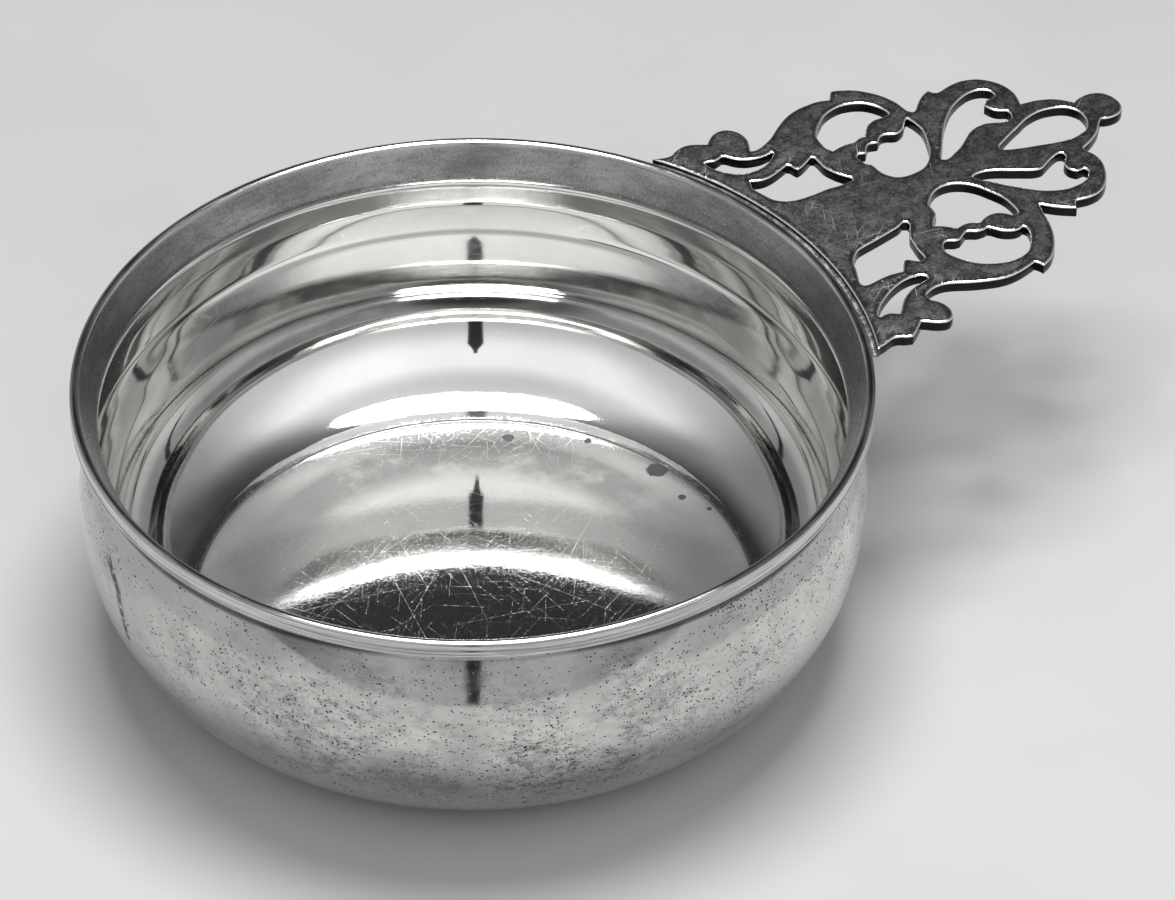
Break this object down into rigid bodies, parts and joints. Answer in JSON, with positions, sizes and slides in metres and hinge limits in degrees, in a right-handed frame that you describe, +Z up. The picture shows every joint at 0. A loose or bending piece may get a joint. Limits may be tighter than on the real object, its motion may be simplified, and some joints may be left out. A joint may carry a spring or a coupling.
{
  "type": "porringer",
  "caption": "Round silver porringer: a bulging bowl with a thickened everted lip and a domed base, and a flat pierced keyhole-pattern handle soldered level with the lip.",
  "frame": {"origin": "middle of the bottom of the whole part's bounding box, on the surface it stands on; the bowl's own axis stands 35.045 mm from it towards -X", "axes": "+X from the bowl along the handle to its tip, +Z up through the mouth"},
  "size_m": [0.2034, 0.1334, 0.0492],
  "materials": {
    "bowl_silver": "polished raised silver, satin outside, fine scratches and light tarnish",
    "handle_silver": "polished cast silver with wear scratches and crisp filed edges",
    "solder": "dull grey silver solder"
  },
  "bodies": {
    "root": {"bowl": "bowl_silver", "handle": "handle_silver", "solder_seam": "solder"}
  },
  "joints": []
}
